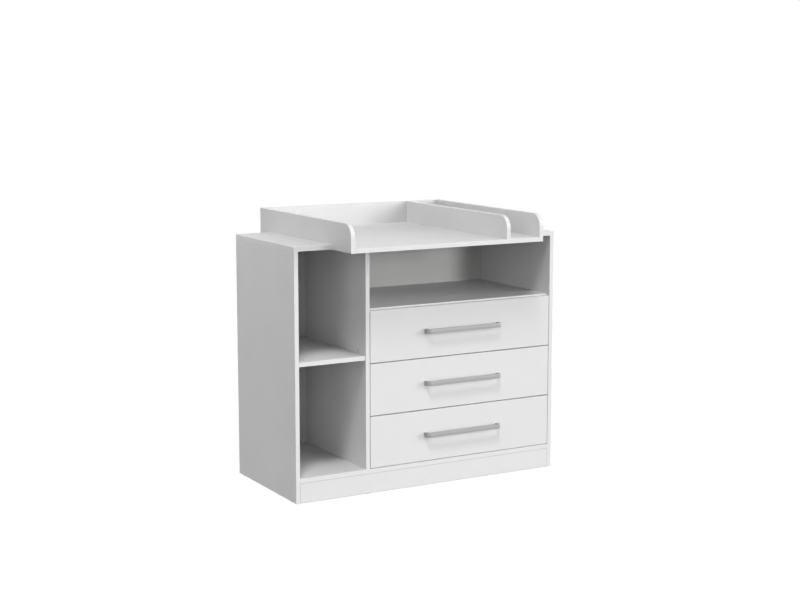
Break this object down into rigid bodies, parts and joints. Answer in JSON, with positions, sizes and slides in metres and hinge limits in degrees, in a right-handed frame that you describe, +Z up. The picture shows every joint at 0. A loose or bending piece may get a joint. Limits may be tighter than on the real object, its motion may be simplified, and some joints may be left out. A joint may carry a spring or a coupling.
{
  "type": "changing dresser",
  "caption": "White changing dresser: a cabinet with an open shelved bay, drawers with bow handles under an open niche, and a removable changing tray on top.",
  "frame": {"origin": "on the floor, at the middle of the whole outline, changing tray included", "axes": "+X to the right as seen from the front, +Y to the rear, +Z up; the drawers open towards -Y"},
  "size_m": [1.072, 0.732, 0.983],
  "materials": {
    "white_board": "white melamine-faced chipboard, satin",
    "white_hdf": "thin white hardboard, smooth face",
    "handle_metal": "satin metal",
    "zinc_steel": "bright zinc-plated",
    "white_steel": "white powder coat",
    "nylon": "natural nylon",
    "white_plastic": "white moulded cover",
    "glide_plastic": "hard plastic",
    "beech": "fluted beech"
  },
  "bodies": {
    "cabinet": {"left_side_panel": "white_board", "right_side_panel": "white_board", "partition_panel": "white_board", "top_panel": "white_board", "bottom_panel": "white_board", "front_plinth": "white_board", "rear_plinth": "white_board", "niche_shelf": "white_board", "adjustable_shelf": "white_board", "shelf_pins": "zinc_steel", "back_panel_left": "white_hdf", "back_panel_right": "white_hdf", "back_panel_nails": "zinc_steel", "floor_glides": "glide_plastic", "runner_screws": "zinc_steel", "cam_locks": "zinc_steel", "cam_bolts": "zinc_steel", "cam_caps": "white_plastic", "cabinet_dowels": "beech", "tray_left_wall": "white_board", "tray_right_wall": "white_board", "tray_divider": "white_board", "tray_back_wall": "white_board", "tray_front_board": "white_board", "tray_rear_board": "white_board", "tray_screws": "zinc_steel", "tray_dowels": "beech", "bottom_drawer_cabinet_runners": "white_steel", "middle_drawer_cabinet_runners": "white_steel", "top_drawer_cabinet_runners": "white_steel"},
    "bottom_drawer": {"bottom_drawer_front": "white_board", "bottom_drawer_left_side": "white_board", "bottom_drawer_right_side": "white_board", "bottom_drawer_back": "white_board", "bottom_drawer_bottom": "white_hdf", "bottom_drawer_handle": "handle_metal", "bottom_drawer_screws": "zinc_steel", "bottom_drawer_runners": "white_steel"},
    "bottom_drawer_rear_rollers": {"bottom_drawer_rear_rollers": "nylon"},
    "bottom_drawer_front_rollers": {"bottom_drawer_front_rollers": "nylon"},
    "middle_drawer": {"middle_drawer_front": "white_board", "middle_drawer_left_side": "white_board", "middle_drawer_right_side": "white_board", "middle_drawer_back": "white_board", "middle_drawer_bottom": "white_hdf", "middle_drawer_handle": "handle_metal", "middle_drawer_screws": "zinc_steel", "middle_drawer_runners": "white_steel"},
    "middle_drawer_rear_rollers": {"middle_drawer_rear_rollers": "nylon"},
    "middle_drawer_front_rollers": {"middle_drawer_front_rollers": "nylon"},
    "top_drawer": {"top_drawer_front": "white_board", "top_drawer_left_side": "white_board", "top_drawer_right_side": "white_board", "top_drawer_back": "white_board", "top_drawer_bottom": "white_hdf", "top_drawer_handle": "handle_metal", "top_drawer_screws": "zinc_steel", "top_drawer_runners": "white_steel"},
    "top_drawer_rear_rollers": {"top_drawer_rear_rollers": "nylon"},
    "top_drawer_front_rollers": {"top_drawer_front_rollers": "nylon"}
  },
  "joints": [
    {"name": "bottom_drawer_slide", "type": "slide", "parent": "cabinet", "child": "bottom_drawer", "axis": [0, -1, 0], "range_m": [0, 0.33]},
    {"name": "bottom_drawer_rear_roller_spin", "type": "hinge", "parent": "bottom_drawer", "child": "bottom_drawer_rear_rollers", "pos_m": [0.138, 0.225, 0.1133], "axis": [1, 0, 0], "range_deg": [0, 1892]},
    {"name": "bottom_drawer_front_roller_spin", "type": "hinge", "parent": "cabinet", "child": "bottom_drawer_front_rollers", "pos_m": [0.138, -0.188, 0.1135], "axis": [1, 0, 0], "range_deg": [0, 1892]},
    {"name": "middle_drawer_slide", "type": "slide", "parent": "cabinet", "child": "middle_drawer", "axis": [0, -1, 0], "range_m": [0, 0.33]},
    {"name": "middle_drawer_rear_roller_spin", "type": "hinge", "parent": "middle_drawer", "child": "middle_drawer_rear_rollers", "pos_m": [0.138, 0.225, 0.3033], "axis": [1, 0, 0], "range_deg": [0, 1892]},
    {"name": "middle_drawer_front_roller_spin", "type": "hinge", "parent": "cabinet", "child": "middle_drawer_front_rollers", "pos_m": [0.138, -0.188, 0.3035], "axis": [1, 0, 0], "range_deg": [0, 1892]},
    {"name": "top_drawer_slide", "type": "slide", "parent": "cabinet", "child": "top_drawer", "axis": [0, -1, 0], "range_m": [0, 0.33]},
    {"name": "top_drawer_rear_roller_spin", "type": "hinge", "parent": "top_drawer", "child": "top_drawer_rear_rollers", "pos_m": [0.138, 0.225, 0.4933], "axis": [1, 0, 0], "range_deg": [0, 1892]},
    {"name": "top_drawer_front_roller_spin", "type": "hinge", "parent": "cabinet", "child": "top_drawer_front_rollers", "pos_m": [0.138, -0.188, 0.4935], "axis": [1, 0, 0], "range_deg": [0, 1892]}
  ],
  "couplings": [
    {"joint": "bottom_drawer_rear_roller_spin", "follows": "bottom_drawer_slide", "rad_per_m": 100},
    {"joint": "bottom_drawer_front_roller_spin", "follows": "bottom_drawer_slide", "rad_per_m": 100},
    {"joint": "middle_drawer_rear_roller_spin", "follows": "middle_drawer_slide", "rad_per_m": 100},
    {"joint": "middle_drawer_front_roller_spin", "follows": "middle_drawer_slide", "rad_per_m": 100},
    {"joint": "top_drawer_rear_roller_spin", "follows": "top_drawer_slide", "rad_per_m": 100},
    {"joint": "top_drawer_front_roller_spin", "follows": "top_drawer_slide", "rad_per_m": 100}
  ]
}
